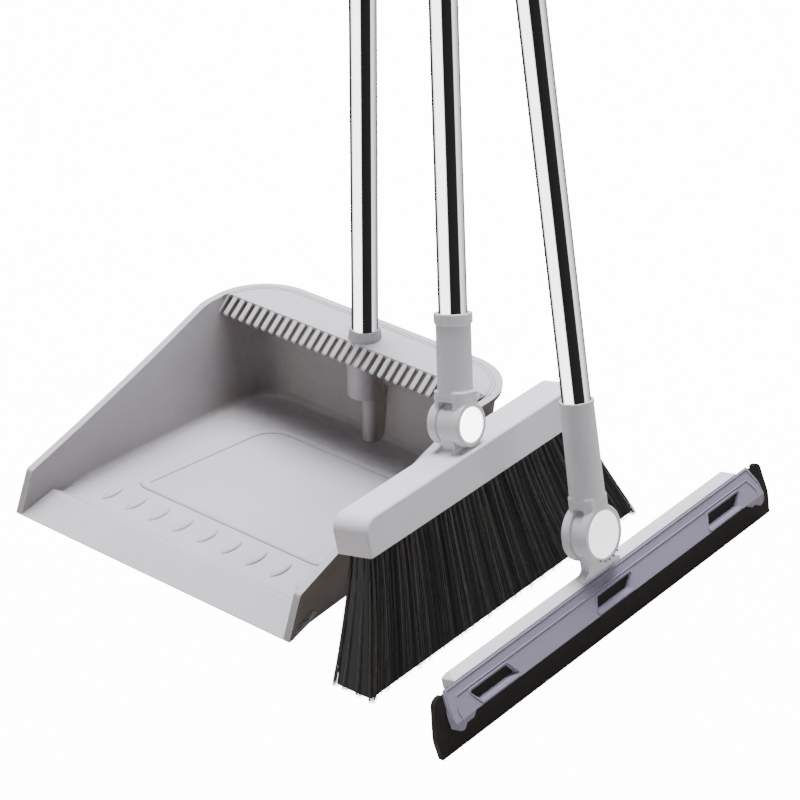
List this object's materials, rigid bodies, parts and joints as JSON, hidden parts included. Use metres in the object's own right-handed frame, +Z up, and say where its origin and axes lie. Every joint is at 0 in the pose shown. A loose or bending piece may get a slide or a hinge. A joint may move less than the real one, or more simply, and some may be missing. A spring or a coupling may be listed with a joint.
{
  "type": "dustpan broom and squeegee set",
  "caption": "Hooded dustpan with comb fingers, push broom and floor squeegee, each on a long steel pole, the two tools hinged at round knuckles.",
  "frame": {"origin": "centre of the dustpan's flat underside", "axes": "+X to the dustpan's right, +Y from its lip to its back wall, +Z up"},
  "size_m": [0.4778, 0.4333, 0.9662],
  "materials": {
    "pan_plastic": "satin",
    "broom_plastic": "satin",
    "squeegee_plastic": "satin",
    "fork_plastic": "satin",
    "grip_plastic": "satin",
    "plug_plastic": "matte",
    "washer_plastic": "matte",
    "white_cap": "satin",
    "grey_cap": "satin",
    "pole_chrome": "polished",
    "zinc_steel": "satin",
    "bristle_fibre": "matte",
    "blade_rubber": "matte"
  },
  "bodies": {
    "dustpan": {"pan_body": "pan_plastic", "pan_pole": "pole_chrome", "pan_pole_plug": "plug_plastic", "pan_pole_screw": "zinc_steel", "pan_grip": "grip_plastic"},
    "broom_head": {"broom_cover": "broom_plastic", "broom_tuft_plate": "plug_plastic", "broom_bristles": "bristle_fibre"},
    "broom_handle": {"broom_fork": "fork_plastic", "broom_pole": "pole_chrome", "broom_pole_plug": "plug_plastic", "broom_grip": "grip_plastic", "broom_knuckle_bolt": "zinc_steel", "broom_knuckle_nut": "zinc_steel", "broom_friction_washers": "washer_plastic", "broom_spring_washer": "zinc_steel", "broom_front_cap": "white_cap", "broom_back_cap": "white_cap"},
    "squeegee_head": {"squeegee_spine": "squeegee_plastic", "squeegee_plate": "squeegee_plastic", "squeegee_blade": "blade_rubber", "squeegee_clamp_screws": "zinc_steel"},
    "squeegee_handle": {"squeegee_fork": "fork_plastic", "squeegee_pole": "pole_chrome", "squeegee_pole_plug": "plug_plastic", "squeegee_grip": "grip_plastic", "squeegee_knuckle_bolt": "zinc_steel", "squeegee_knuckle_nut": "zinc_steel", "squeegee_friction_washers": "washer_plastic", "squeegee_spring_washer": "zinc_steel", "squeegee_front_cap": "grey_cap", "squeegee_back_cap": "grey_cap"}
  },
  "joints": [
    {"name": "broom_lift", "type": "slide", "parent": "dustpan", "child": "broom_head", "axis": [-0.2419, -0.0051, 0.9703], "range_m": [0, 0.45]},
    {"name": "broom_knuckle", "type": "hinge", "parent": "broom_head", "child": "broom_handle", "pos_m": [0.18793, -0.00374, 0.14069], "axis": [0.9701, 0.0203, 0.2419], "range_deg": [-76, 104]},
    {"name": "squeegee_lift", "type": "slide", "parent": "dustpan", "child": "squeegee_head", "axis": [-0.2419, -0.0051, 0.9703], "range_m": [0, 0.45]},
    {"name": "squeegee_knuckle", "type": "hinge", "parent": "squeegee_head", "child": "squeegee_handle", "pos_m": [0.29738, 0.02211, 0.07471], "axis": [0.9701, 0.0203, 0.2419], "range_deg": [-84.1, 95.9]}
  ]
}
